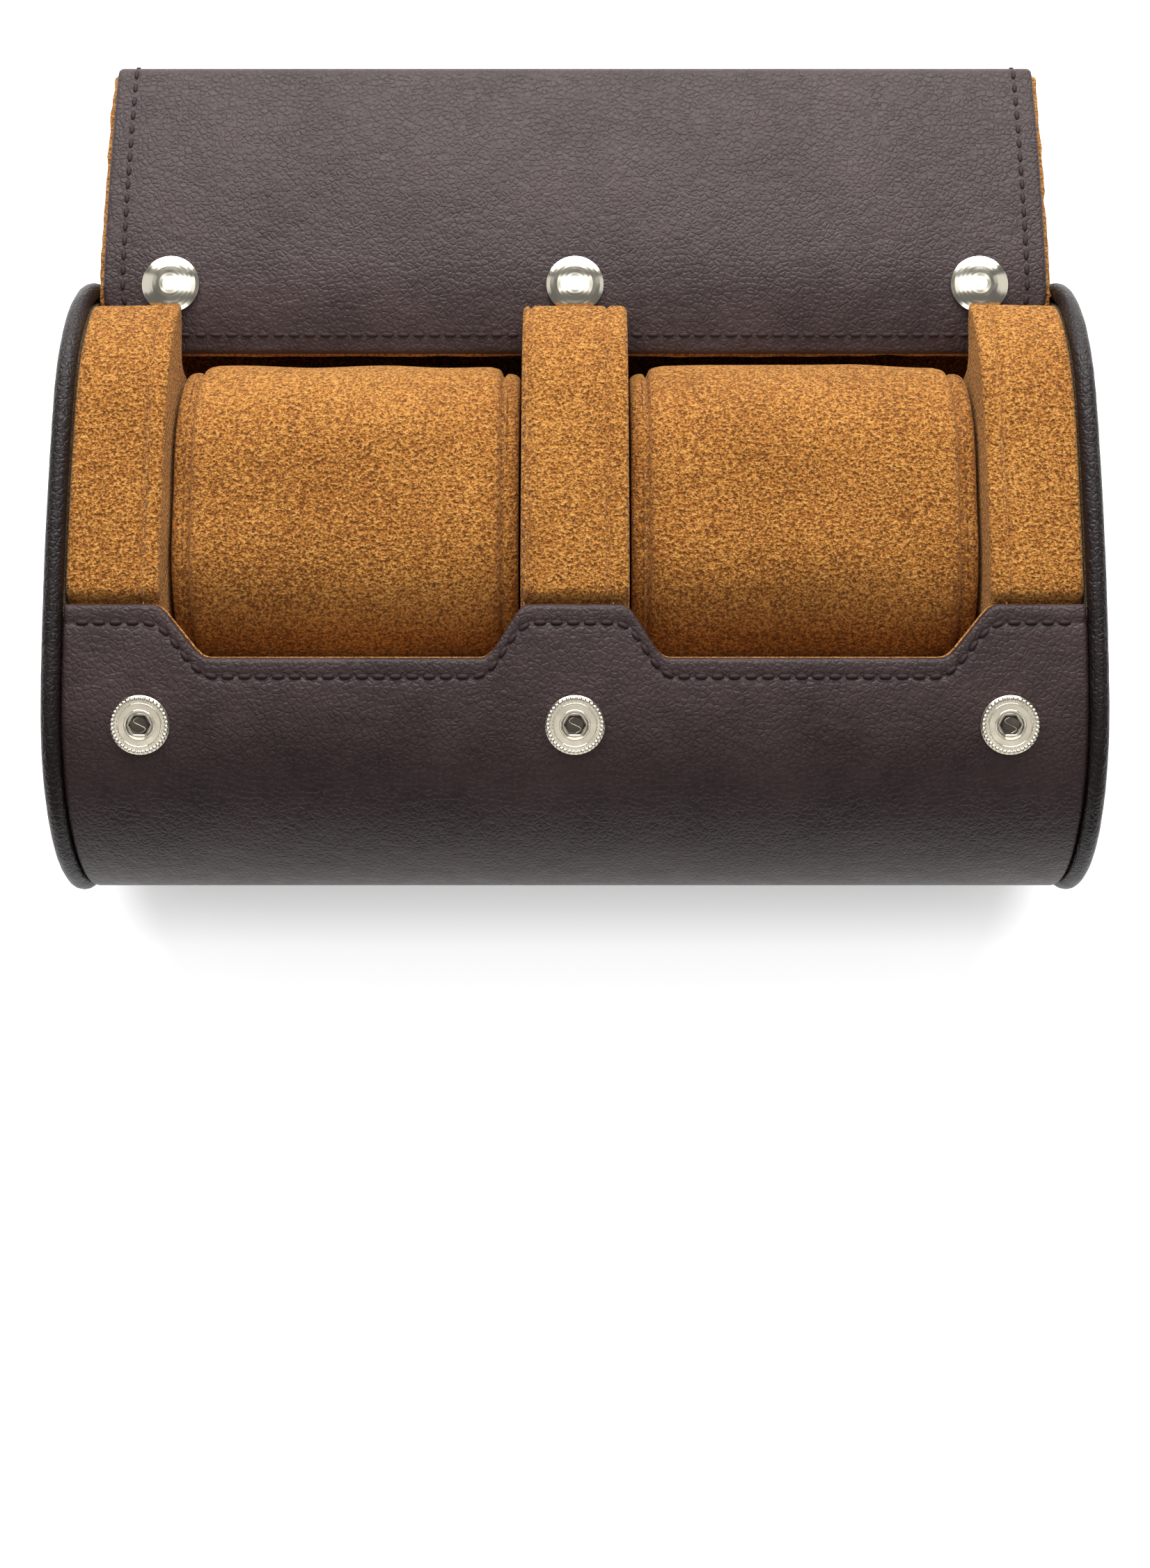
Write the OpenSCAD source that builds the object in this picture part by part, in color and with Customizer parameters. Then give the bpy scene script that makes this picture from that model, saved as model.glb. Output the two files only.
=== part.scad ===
// Watch travel case for two watches: a stiff leather roll of oval section with
// a round-ended shell, two roll cushions between three suede pads, and a long
// snap flap. Millimetres, +Z up. The case lies on its broad side and is drawn
// open, with the flap folded up behind it and its edge tucked under the pads.
// The flap's pieces are drawn closed round the oval and then turned open.

/* [Case] */
// Length of the case over the end rims
case_l = 200; // [170:1:250]
// Depth of the oval section, front to back
sec_d = 124; // [104:1:150]
// Height of the oval section
sec_h = 79; // [66:1:92]
// How far the broad faces swell past the round ends
crown = 1.5; // [1:0.1:3]
// Depth of the flat that the shell rests on
base_cut = 0.5; // [0.3:0.1:0.8]

/* [Shell] */
// Thickness of the shell leather
leather_t = 1.3; // [0.9:0.1:1.8]
// Thickness of the stiffening board
board_t = 1.75; // [1.2:0.05:2.4]
// Thickness of the suede lining
suede_t = 0.95; // [0.6:0.05:1.4]
// How far the shell leather lies below the oval of the end rims
shell_drop = 0.8; // [0.5:0.1:1.2]
// Radius of the piped rim round each end
rim_r = 1.9; // [1.5:0.1:2.4]
// Distance along the oval from the top to the edge of the front tabs
tab_edge = 11.5; // [8:0.5:14]
// Depth of the two notches in the front edge
notch_dp = 10.2; // [6:0.1:14]
// Half width of the middle tab
tab_half = 10; // [8:0.5:14]
// Width of the slanted side of a notch next to the middle tab
notch_slant = 6.3; // [3:0.1:9]
// Width of the slanted side of a notch next to an end tab
outer_slant = 8.2; // [3:0.1:12]
// How far a notch reaches over the pad at each end
notch_over = 0.9; // [0.4:0.1:2]

/* [Inside] */
// Width of each watch slot
slot_w = 66.9; // [55:0.1:80]
// Half width of the middle pad
mid_half = 10.3; // [8:0.1:12]
// Distance from the axis back to the rear face of the pads
wall_back = 40.5; // [32:0.5:44]
// Thickness at the end of the soft pad tips
tip_t = 2.2; // [1:0.1:4]
// How far the top of the pads lies below the oval
pad_drop = 2; // [1.5:0.1:3]
// Room above a watch cushion, up to the top of the oval
watch_room = 8; // [6:0.5:12]
// Thickness of the foam bed under a watch cushion
bed_t = 15.7; // [10:0.1:20]
// Corner radius of a watch cushion
roll_r = 24; // [16:0.5:25]
// Width of the seamed strip at each side of a cushion
gusset_w = 3.3; // [2:0.1:5]
// How far the sides of a cushion are drawn in
roll_draw = 4.4; // [1.4:0.1:6]

/* [Flap] */
// Thickness of the flap leather and of its lining, each
flap_t = 1.6; // [1:0.1:2]
// Room between the closed flap and the oval
flap_gap = 1.2; // [0.8:0.1:2]
// Room between each side of the flap lining and the end rims
flap_side = 0.3; // [0.3:0.1:4]
// How far the lining shows past the leather
lining_lip = 1.0; // [0.4:0.1:2]
// Distance along the oval from the top to the front edge of the flap
flap_edge = 47.7; // [40:0.1:56]
// Distance along the oval from the top back to the upper fold
fold_up = 12.3; // [8:0.1:20]
// Distance along the oval from the top back to the rear fold
fold_rear = 45; // [38:0.5:52]
// Angle from the top round to the flap's root
root_turn = 100; // [92:1:108]
// Corner radius of the flap
flap_corner = 12; // [6:0.5:18]

/* [Flap travel] */
// Turn of the flap at its root, closed to open
open_back = 138; // [120:1:140]
// Turn of the crown against the back of the flap
open_crown = 70; // [60:1:74]
// Turn of the front against the crown of the flap
open_front = 57; // [50:1:60]

/* [Snaps] */
// Diameter of a snap cap
cap_d = 11.5; // [9:0.1:14]
// Diameter of a snap socket
socket_d = 11.2; // [9:0.1:14]
// Diameter of the hole in a snap socket
socket_hole = 5; // [4:0.1:6]
// Distance along the oval from the top to the snaps
snap_l = 34.5; // [28:0.1:40]
// Distance from the middle snap to each outer snap
snap_x = 81.2; // [70:0.1:90]

/* [Hidden] */

// Clearance between glued layers, and between pieces that only lie together
glue = 0.05;
lie = 0.3;
deg = 180 / PI;

// The oval: a broad arc above and below, a round arc at each end
half_h = sec_h / 2;
end_r = half_h - crown;
end_c = sec_d / 2 - end_r;
broad_r = (end_c * end_c + half_h * half_h - end_r * end_r) / (2 * crown);
join_a = atan2(end_c, broad_r - half_h);
broad_l = broad_r * join_a / deg;
end_l = end_r * (180 - 2 * join_a) / deg;
whole_l = 4 * broad_l + 2 * end_l;
axis_z = half_h - shell_drop - base_cut;
oval_n = 72;
oval_step = whole_l / oval_n;

// Angle of the oval's normal from +Z, at a distance along it from the top
function turn_at(l) = l <= broad_l ? l / broad_r * deg
  : l <= broad_l + end_l ? join_a + (l - broad_l) / end_r * deg
  : 180 - join_a + (l - broad_l - end_l) / broad_r * deg;

// Point (y, z from the axis) at a distance l along the oval from the top,
// positive to the front, and d outside it
function oval_half(l, d) = let(t = turn_at(l))
  l <= broad_l ? [-(broad_r + d) * sin(t),
    half_h - broad_r + (broad_r + d) * cos(t)]
  : l <= broad_l + end_l ? [-end_c - (end_r + d) * sin(t), (end_r + d) * cos(t)]
  : [-(broad_r + d) * sin(t), broad_r - half_h + (broad_r + d) * cos(t)];
function flip(p) = [-p[0], p[1]];
function oval(l, d) = l < 0 ? flip(oval(-l, d))
  : l <= whole_l / 2 ? oval_half(l, d)
  : flip(oval_half(whole_l - l, d));
// Distance from the top at which the oval's normal has turned by t
function length_at(t) = broad_l + end_r * (t - join_a) / deg;

// Distances from l0 to l1 that share one set of steps round the oval
function steps(l0, l1) = concat([l0],
  [for (k = [ceil(l0 / oval_step + 0.1) : floor(l1 / oval_step - 0.1)])
    k * oval_step], [l1]);
function oval_line(l0, l1, d) = [for (l = steps(l0, l1)) oval(l, d)];
function back_to_front(v) = [for (i = [len(v) - 1 : -1 : 0]) v[i]];
function band(l0, l1, d0, d1) = concat(oval_line(l0, l1, d1),
  back_to_front(oval_line(l0, l1, d0)));
function whole_oval(d) = [for (k = [0 : oval_n - 1]) oval(k * oval_step, d)];
// Points held at or above the surface that the case stands on
function grounded(v) = [for (p = v) [p[0], max(p[1], -axis_z)]];
// Arc about a point, from angle a0 to a1 measured from +Y towards +Z
function arc(c, r, a0, a1, n) = [for (i = [0 : n])
  let(a = a0 + (a1 - a0) * i / n) c + r * [cos(a), sin(a)]];
// A point turned by a about another one
function turned(p, c, a) = let(q = p - c)
  c + [q[0] * cos(a) - q[1] * sin(a), q[0] * sin(a) + q[1] * cos(a)];

// Layers of the shell, as distances from the oval
cover_out = -shell_drop;
cover_in = cover_out - leather_t;
board_out = cover_in - glue;
board_in = board_out - board_t;
lining_out = board_in - glue;
lining_in = lining_out - suede_t;
fill_out = lining_in - 4 * glue;

// Stations along the length
half_l = case_l / 2;
rim_x = half_l - rim_r;
shell_x = half_l - 2 * rim_r - 2 * glue;
inside_x = mid_half + slot_w;
flap_half = half_l - 2 * rim_r - flap_side;
leather_half = flap_half - lining_lip;

// The flap's layers and its three turning axes in the closed position
flap_mid = flap_gap + flap_t;
flap_out = flap_mid + flap_t;
root_l = length_at(root_turn);
root_gap = 3;
root_axis = flip(oval(root_l, 5));
rear_axis = oval(-fold_rear, flap_gap);
front_axis = oval(-fold_up, flap_gap);
fold_gap = 0.15;
// Where a point of the closed flap's front lies when the flap is open
function opened(p) = turned(turned(turned(p, front_axis, open_front),
  rear_axis, open_crown), root_axis, -open_back);

// ---- shared shapes ----

// An outline in (y, z from the axis) given a thickness along X
module slab(x0, x1) {
  translate([x0, 0, axis_z]) rotate([90, 0, 90]) linear_extrude(x1 - x0)
    children();
}

// Turns children by a about an axis along X through a point
module about(c, a) {
  translate([0, c[0], axis_z + c[1]]) rotate([a, 0, 0])
    translate([0, -c[0], -axis_z - c[1]]) children();
}
module back_open() { about(root_axis, -open_back) children(); }
module crown_open() { back_open() about(rear_axis, open_crown) children(); }
module front_open() { crown_open() about(front_axis, open_front) children(); }

// Children set at each snap, with +Z along the oval's normal
module at_snaps() {
  p = oval(snap_l, 0);
  for (x = [-snap_x, 0, snap_x])
    translate([x, p[0], axis_z + p[1]]) rotate([turn_at(snap_l), 0, 0]) children();
}

// Rings of equal size joined into one closed solid
module loft(rings) {
  n = len(rings[0]);
  m = len(rings);
  sides = [for (i = [0 : m - 2], k = [0 : n - 1], h = [0, 1])
    let(a = i * n + k, b = i * n + (k + 1) % n)
      h == 0 ? [a, b + n, b] : [a, a + n, b + n]];
  first = [for (k = [1 : n - 2]) [0, k, k + 1]];
  last = [for (k = [1 : n - 2]) [(m - 1) * n, (m - 1) * n + k + 1, (m - 1) * n + k]];
  polyhedron([for (r = rings) each r], concat(sides, first, last));
}

// ---- shell ----

// The two notches in the front edge, cut straight down from above
module notches() {
  over = 3;
  wall_h = 12;
  y0 = oval(tab_edge, 0)[0];
  y1 = y0 - notch_dp;
  outer = inside_x + notch_over;
  for (s = [-1, 1]) translate([0, 0, axis_z + end_r - wall_h])
    linear_extrude(2 * wall_h) polygon([[s * tab_half, y0 + over],
      [s * tab_half, y0], [s * (tab_half + notch_slant), y1],
      [s * (outer - outer_slant), y1], [s * outer, y0], [s * outer, y0 + over]]);
}

// One layer of the shell, from the front edge round below to the flap's root
module shell_layer(d_in, d_out, end_turn) {
  difference() {
    slab(-shell_x, shell_x) polygon(grounded(
      band(tab_edge, whole_l - length_at(end_turn), d_in, d_out)));
    notches();
  }
}

module body_cover() {
  color("#4a2320") difference() {
    shell_layer(cover_in, cover_out, root_turn + 2);
    at_snaps() translate([0, 0, -5]) cylinder(h = 8, d = 3.6, $fn = 32);
  }
}

module body_board() {
  color("#8a7458") difference() {
    shell_layer(board_in, board_out, root_turn + 3);
    at_snaps() {
      translate([0, 0, -5]) cylinder(h = 8, d = 3.6, $fn = 32);
      translate([0, 0, -5]) cylinder(h = 5 + board_in + 0.9, d = 9.6, $fn = 32);
    }
  }
}

module body_lining() {
  color("#a9713c") shell_layer(lining_in, lining_out, root_turn + 3);
}

// ---- ends: s is -1 for the left and 1 for the right ----

module end_rim(s) {
  ring_n = 10;
  pts = [for (k = [0 : oval_n - 1], i = [0 : ring_n - 1])
    let(a = 360 * i / ring_n,
      p = grounded([oval(k * oval_step, -rim_r + rim_r * cos(a))])[0])
      [s * rim_x + rim_r * sin(a), p[0], axis_z + p[1]]];
  faces = [for (k = [0 : oval_n - 1], i = [0 : ring_n - 1], h = [0, 1])
    let(k2 = (k + 1) % oval_n, i2 = (i + 1) % ring_n,
      a = k * ring_n + i, b = k * ring_n + i2,
      c = k2 * ring_n + i, d = k2 * ring_n + i2)
      h == 0 ? [a, d, b] : [a, c, d]];
  color("#431d1b") polyhedron(pts, faces);
}

// A plate inside the rim between two distances from the middle of the case
module end_plate(s, x0, x1) {
  slab(s > 0 ? x0 : -x1, s > 0 ? x1 : -x0)
    polygon(whole_oval(-2 * rim_r - 2 * glue));
}
module end_board(s) {
  color("#8a7458") end_plate(s, shell_x + 3 * glue, rim_x + 2 * glue);
}
module end_cap(s) {
  color("#4f2624") end_plate(s, rim_x + 3 * glue, half_l - 2 * glue);
}

// ---- inside ----

// Height of the soft tips' underside, just above the edge of the open flap
soft_z = opened(oval(flap_edge - 5, flap_out))[1] + 2 * lie;
soft_y = wall_back - 5.5;
soft_root = 7;
tip_rise = 2.2;
tip_z = soft_z + tip_rise + tip_t;
tip_back = end_c + sqrt(pow(end_r - pad_drop, 2) - tip_z * tip_z);
pad_back_l = length_at(180 - asin((wall_back - end_c) / (end_r + fill_out)));

// Outline of the firm part of a pad
pad_top_l = length_at(asin((soft_y - end_c) / (end_r - pad_drop)));
pad_outline = concat(
  oval_line(tab_edge - 1, whole_l - pad_back_l, fill_out),
  [[wall_back, soft_z - soft_root]],
  oval_line(-pad_top_l, tab_edge - 1, -pad_drop));

module divider(x0, x1) {
  color("#b47a42") slab(x0, x1) polygon(pad_outline);
}

// Soft overhanging ends of the pads, which the edge of the open flap lies under
module divider_tips() {
  top_l = length_at(asin((soft_y + lie - end_c) / (end_r - pad_drop)));
  end_at = length_at(asin((tip_back - end_c) / (end_r - pad_drop)));
  outline = concat([[wall_back + lie, soft_z - soft_root]],
    [[wall_back + lie, soft_z], [tip_back - 5, soft_z + tip_rise / 2],
      [tip_back, soft_z + tip_rise]],
    oval_line(-end_at, -top_l, -pad_drop));
  color("#b47a42") {
    slab(-shell_x, -inside_x) polygon(outline);
    slab(-mid_half, mid_half) polygon(outline);
    slab(inside_x, shell_x) polygon(outline);
  }
}

// Where a cushion stands: clear of the notch in front and of the pads' rear
cradle_gap = 0.4;
roll_y0 = oval(tab_edge, 0)[0] - notch_dp + 2;
roll_d = wall_back + 0.5 - roll_y0;
roll_z0 = bed_t + cradle_gap - half_h - lining_in;
roll_h = half_h - watch_room - roll_z0;
roll_round = min(roll_r, roll_h / 2 - 0.5, roll_d / 2 - 0.5);

// Foam bed under and in front of one cushion
module cradle(s) {
  x0 = mid_half + lie;
  x1 = inside_x - lie;
  front_y = roll_y0 - 2 * lie;
  bed_z = roll_z0 - cradle_gap;
  top_l = 25;
  corner = [roll_y0 + roll_round, roll_z0 + roll_round];
  outline = concat(
    oval_line(top_l, whole_l - pad_back_l, fill_out),
    [[wall_back, bed_z]],
    arc(corner, roll_round + cradle_gap, 270, 180, 10),
    [[front_y, oval(top_l, fill_out)[1] - 3]]);
  color("#c9b48c") slab(s > 0 ? x0 : -x1, s > 0 ? x1 : -x0) polygon(outline);
}

// Section of a cushion drawn in by e, with a flat ring at each station
function roll_ring(x, e) = let(r = roll_round - e * 0.6,
    y0 = roll_y0 + e, y1 = roll_y0 + roll_d - e,
    z0 = roll_z0 + e, z1 = roll_z0 + roll_h - e, n = 8)
  [for (p = concat(
    arc([y1 - r, z1 - r], r, 0, 90, n), arc([y0 + r, z1 - r], r, 90, 180, n),
    arc([y0 + r, z0 + r], r, 180, 270, n), arc([y1 - r, z0 + r], r, 270, 360, n)))
    [x, p[0], axis_z + p[1]]];

roll_x0 = mid_half + 1.1;
roll_x1 = inside_x - 0.9;

// Main part of a cushion: full in the middle and drawn in at both seams
module pillow(s) {
  x0 = roll_x0 + gusset_w;
  x1 = roll_x1 - gusset_w;
  n = 8;
  color("#b8803f") translate([s > 0 ? 0 : -(roll_x0 + roll_x1), 0, 0])
    loft([for (i = [0 : n]) let(t = i / n)
      roll_ring(x0 + (x1 - x0) * t, 1.1 * pow(abs(2 * t - 1), 2.5))]);
}

// Seamed side strips of a cushion, each closing one end
module pillow_gussets(s) {
  n = 4;
  color("#a8713a") translate([s > 0 ? 0 : -(roll_x0 + roll_x1), 0, 0])
    for (e = [0, 1]) let(xs = e == 0 ? roll_x0 + gusset_w - glue
        : roll_x1 - gusset_w + glue,
      w = gusset_w - glue)
      loft([for (i = [0 : n]) let(t = e == 0 ? 1 - i / n : i / n)
        roll_ring(xs + (e == 0 ? -t : t) * w,
          1.3 + (roll_draw - 1.3) * (1 - sqrt(1 - t * t)))]);
}

// ---- flap ----

// One length of a flap layer, drawn closed
module flap_strip(l0, l1, d0, d1, half) {
  slab(-half, half) polygon(band(l0, l1, d0, d1));
}

// Rounds the two front corners of a flap layer whose edge lies at l
module tip_corners(l, half) {
  p = oval(l, 0);
  r = flap_corner;
  for (s = [-1, 1]) translate([s * (half - r), p[0], axis_z + p[1]])
    rotate([turn_at(l - r / 2), 0, 0]) linear_extrude(30, center = true)
      difference() {
        translate([s > 0 ? 0 : -r - 1, -4]) square([r + 1, r + 4]);
        translate([0, r]) circle(r, $fn = 96);
      }
}

module flap_back_cover() {
  color("#4a2320") back_open() flap_strip(-length_at(root_turn - root_gap),
    -fold_rear - fold_gap, flap_mid, flap_out, leather_half);
}
module flap_back_lining() {
  color("#a9713c") back_open() flap_strip(-length_at(root_turn - root_gap),
    -fold_rear - fold_gap, flap_gap, flap_mid - glue, flap_half);
}
module flap_crown_cover() {
  color("#4a2320") crown_open() flap_strip(-fold_rear + fold_gap,
    -fold_up - fold_gap, flap_mid, flap_out, leather_half);
}
module flap_crown_lining() {
  color("#a9713c") crown_open() flap_strip(-fold_rear + fold_gap,
    -fold_up - fold_gap, flap_gap, flap_mid - glue, flap_half);
}
module flap_front_cover() {
  color("#4a2320") front_open() difference() {
    flap_strip(-fold_up + fold_gap, flap_edge - lining_lip, flap_mid, flap_out,
      leather_half);
    tip_corners(flap_edge - lining_lip, leather_half);
    at_snaps() cylinder(h = 8, d = 3, $fn = 32);
  }
}
module flap_front_lining() {
  color("#a9713c") front_open() difference() {
    flap_strip(-fold_up + fold_gap, flap_edge, flap_gap, flap_mid - glue,
      flap_half);
    tip_corners(flap_edge, flap_half);
    at_snaps() cylinder(h = 8, d = 3, $fn = 32);
  }
}

// Leather that fills the open wedge outside a fold: c is the fold's axis in
// the open position and a0 the turn of the face on its back side
module fold_wedge(c, a0, turn) {
  inset = 4;
  r_in = 0.4;
  r_out = 2 * flap_t;
  color("#43201d") slab(-leather_half, leather_half) polygon(concat(
    arc(c, r_out, a0 - inset, a0 - turn + inset, 6),
    arc(c, r_in, a0 - turn + 4 * inset, a0 - 4 * inset, 2)));
}
rear_open = turned(rear_axis, root_axis, -open_back);
front_mid = turned(front_axis, rear_axis, open_crown);
front_open_at = turned(front_mid, root_axis, -open_back);

module flap_bend_rear() {
  fold_wedge(rear_open, 90 - turn_at(fold_rear) - open_back + open_crown, open_crown);
}
module flap_bend_front() {
  fold_wedge(front_open_at,
    90 - turn_at(fold_up) - open_back + open_crown + open_front, open_front);
}

// Leather that carries the flap out of the back of the shell
module flap_hinge() {
  body_l = length_at(root_turn + 2) - 2 * glue;
  flap_l = length_at(root_turn - root_gap) + 2 * glue;
  shell_top = [flip(oval(body_l, cover_out)), flip(oval(body_l, cover_in))];
  flap_end = [for (d = [flap_out, flap_gap])
    turned(flip(oval(flap_l, d)), root_axis, -open_back)];
  color("#43201d") slab(-leather_half, leather_half)
    polygon([shell_top[0], flap_end[0], flap_end[1], shell_top[1]]);
}

// ---- snaps ----

socket_top = 0.15;
module snap_sockets() {
  color("#d9c9a3") at_snaps() difference() {
    union() {
      translate([0, 0, cover_out + glue]) rotate_extrude($fn = 64)
        polygon([[0, 0], [socket_d / 2, 0], [socket_d / 2, 0.5],
          [socket_d / 2 - 0.4, socket_top - cover_out - glue],
          [0, socket_top - cover_out - glue]]);
      translate([0, 0, board_in + 1]) cylinder(d = 3.2, $fn = 32,
        h = cover_out + 0.2 - board_in - 1);
    }
    translate([0, 0, cover_out + 0.4]) cylinder(h = 3, d = socket_hole, $fn = 48);
  }
}

// Two short wires that grip the stud in each socket
module snap_springs() {
  wire_d = 0.4;
  off = socket_hole / 2 - 0.35;
  half = sqrt(pow(socket_hole / 2, 2) - pow(off + wire_d / 2, 2)) - glue;
  color("#c7b387") at_snaps() for (s = [-1, 1])
    translate([s * off, half, cover_out + 0.4 + wire_d / 2 + glue])
      rotate([90, 0, 0]) cylinder(h = 2 * half, d = wire_d, $fn = 24);
}

module snap_backs() {
  color("#c7b387") at_snaps() translate([0, 0, board_in + glue])
    cylinder(h = 0.75, d = 9.2, $fn = 48);
}

// Domed caps on the outside of the flap, each with its stem through it
module snap_caps() {
  rise = 1.7;
  lip = 0.5;
  r = cap_d / 2;
  dome = (r * r + (rise - lip) * (rise - lip)) / (2 * (rise - lip));
  color("#d9c9a3") front_open() at_snaps() {
    translate([0, 0, flap_out + glue]) rotate_extrude($fn = 64)
      polygon(concat([[0, 0], [r - 0.25, 0], [r, 0.25]],
        [for (i = [0 : 8]) let(x = r * (1 - i / 8))
          [x, rise - dome + sqrt(dome * dome - x * x)]]));
    translate([0, 0, flap_gap + glue]) cylinder(d = 2.6, $fn = 32,
      h = flap_out + 2 * glue - flap_gap);
  }
}

// Studs on the inside of the flap, flat plates that touch the curved lining at
// their edges and stop just above the sockets when the flap is closed
stud_d = 8.6;
stud_tip = socket_top + 0.2;
stud_sag = end_r - sqrt(end_r * end_r - stud_d * stud_d / 4) + glue;
module snap_studs() {
  color("#c7b387") front_open() at_snaps() {
    translate([0, 0, stud_tip + 0.15]) cylinder(d = stud_d, $fn = 48,
      h = flap_gap - stud_sag - stud_tip - 0.15);
    translate([0, 0, stud_tip]) cylinder(h = 0.4, d = 3.4, $fn = 32);
  }
}

// ---- the parts ----

body_cover();
body_board();
body_lining();
end_cap(-1);  // end_cap_left
end_cap(1);  // end_cap_right
end_rim(-1);  // end_rim_left
end_rim(1);  // end_rim_right
end_board(-1);  // end_board_left
end_board(1);  // end_board_right
divider(-shell_x, -inside_x);  // divider_left
divider(-mid_half, mid_half);  // divider_centre
divider(inside_x, shell_x);  // divider_right
divider_tips();
cradle(-1);  // cradle_left
cradle(1);  // cradle_right
snap_sockets();
snap_springs();
snap_backs();
flap_hinge();
flap_back_cover();
flap_back_lining();
flap_bend_rear();
flap_crown_cover();
flap_crown_lining();
flap_bend_front();
flap_front_cover();
flap_front_lining();
snap_caps();
snap_studs();
pillow(-1);  // pillow_left
pillow_gussets(-1);  // pillow_left_gussets
pillow(1);  // pillow_right
pillow_gussets(1);  // pillow_right_gussets
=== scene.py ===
"""Looks for the open watch travel case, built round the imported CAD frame.

Lengths are in millimetres and turned into metres by MM, apart from those of
the materials, the lamps and the floor, which are in metres. The section of the
case is an oval of four arcs; (y, z) points are measured from its axis.
"""

import math

import bmesh
import bpy
import numpy as np
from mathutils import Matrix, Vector, noise

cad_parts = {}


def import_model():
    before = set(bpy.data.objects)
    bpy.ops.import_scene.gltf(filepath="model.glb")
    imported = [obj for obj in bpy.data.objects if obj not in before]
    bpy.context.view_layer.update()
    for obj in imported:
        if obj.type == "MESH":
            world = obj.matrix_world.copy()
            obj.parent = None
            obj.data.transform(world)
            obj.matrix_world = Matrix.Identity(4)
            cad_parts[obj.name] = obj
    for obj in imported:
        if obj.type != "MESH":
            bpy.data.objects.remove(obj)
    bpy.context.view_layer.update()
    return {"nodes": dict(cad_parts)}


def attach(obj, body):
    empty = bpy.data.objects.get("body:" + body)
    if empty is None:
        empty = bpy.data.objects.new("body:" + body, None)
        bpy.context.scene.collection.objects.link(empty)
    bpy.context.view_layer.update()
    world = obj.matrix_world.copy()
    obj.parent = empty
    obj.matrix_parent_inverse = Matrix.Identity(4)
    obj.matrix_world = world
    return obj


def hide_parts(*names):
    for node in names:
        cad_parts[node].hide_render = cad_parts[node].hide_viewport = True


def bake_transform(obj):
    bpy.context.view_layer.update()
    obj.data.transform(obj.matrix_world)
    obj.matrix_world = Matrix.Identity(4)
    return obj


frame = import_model()
MM = 0.001

# ---- the case's sizes, as the CAD frame has them ----

HALF_L = 100.0  # half the case's length
HALF_D = 62.0  # half the section's depth
HALF_H = 39.5  # half the section's height
CROWN = 1.5  # bulge of the section's broad sides
AXIS_Z = 38.2  # the section's axis above the ground
SHELL_X = 96.1  # where the shell ends
RIM_R = 1.9  # radius of the piping
RIM_X = HALF_L - RIM_R
COVER_OUT = -0.8  # distances out from the oval: the cover's outer face,
COVER_IN = -3.85  # the inner face of the board under it,
LINING_IN = -4.9  # and the lining's inner face
TAB_EDGE = 11.5  # front edge at its three tabs, along the oval from the top
NOTCH_DEPTH = 10.2
TAB_HALF = 10.0  # half the middle tab's width
NOTCH_OVER = 0.9  # how far the notches reach over the outer pads
NOTCH_SLANT = 6.3  # width of the slants beside the middle tab
OUTER_SLANT = 8.2  # width of the slants beside the outer tabs
PAD_HALF = 10.3  # half the middle pad's width
INSIDE_X = 77.2  # inner sides of the outer pads
PAD_DROP = 2.0  # the pads' tops below the oval
WALL_BACK = 40.5  # rear of the pads' firm parts
TIP_BACK = 52.5  # rear of their soft tips
FLAP_GAP = 1.2  # from the oval to the flap, closed
FLAP_T = 1.6  # thickness of each of the flap's two layers
FLAP_MID = FLAP_GAP + FLAP_T
FLAP_OUT = FLAP_MID + FLAP_T
FLAP_HALF = 95.9  # half the lining's width
LEATHER_HALF = 94.9  # half the leather's width
FLAP_EDGE = 47.7  # where the lining ends, along the oval from the top
LEATHER_EDGE = 47.1  # where the leather ends
FOLD_UP = 12.3  # the folds, along the oval from the top to the rear
FOLD_REAR = 45.0
ROOT_TURN = 100.0  # the root, as an angle of the oval's normal from up
ROOT_OFF = 5.0  # the root's axis out from the oval
CORNER_R = 12.0  # rounded corners of the flap
OPEN_BACK, OPEN_CROWN, OPEN_FRONT = 138.0, 70.0, 57.0  # turns that open the flap
SNAP_L = 34.5  # the press studs, along the oval and along the case
SNAP_X = 81.2

END_R = HALF_H - CROWN  # radius of the oval's narrow ends
END_C = HALF_D - END_R  # their centres' distance from the middle
BROAD_R = (END_C**2 + HALF_H**2 - END_R**2) / (2 * CROWN)  # radius of its broad sides
JOIN_A = math.atan2(END_C, BROAD_R - HALF_H)  # the normal's turn where the arcs meet
BROAD_L = BROAD_R * JOIN_A  # length of half a broad side
END_L = END_R * (math.pi - 2 * JOIN_A)  # length of a narrow end
WHOLE_L = 4 * BROAD_L + 2 * END_L

# ---- sizes that only the looks have ----

EDGE_SOFT = 1.3  # how far the corners of the front edge are softened
STITCH_EDGE_SOFT = 2.5  # and of the stitch row along it
STITCH_PITCH, STITCH_LENGTH, STITCH_R = 3.1, 2.25, 0.56
SHELL_STITCH_STEP = 0.8  # between the points that the shell's row follows
SHELL_STITCH_END = 2.2  # the row's ends, in from the shell's
THREAD_SUNK = 0.02  # how far thread lies in the leather
WELD_REACH = 1e-5  # metres
TAN_STITCH = {"pitch": 2.8, "length": 1.9, "radius": 0.2}
SHELL_STITCH_IN = 3.7  # rows of stitches in from an edge
FLAP_SIDE_STITCH_IN = 4.0
FLAP_EDGE_STITCH_IN = 3.5
PINCH, PINCH_WIDTH = 0.28, 0.55  # furrow that a stitch row draws into the shell
SEAM_WIDTH = 0.35
PAD_ROUND, PAD_DRAW, PAD_SEAM, PAD_STEP = 1.4, 1.2, 0.7, 2.0
PAD_SOFT, CUSHION_SOFT = 0.35, 0.7  # depth of the soft dents
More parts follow.
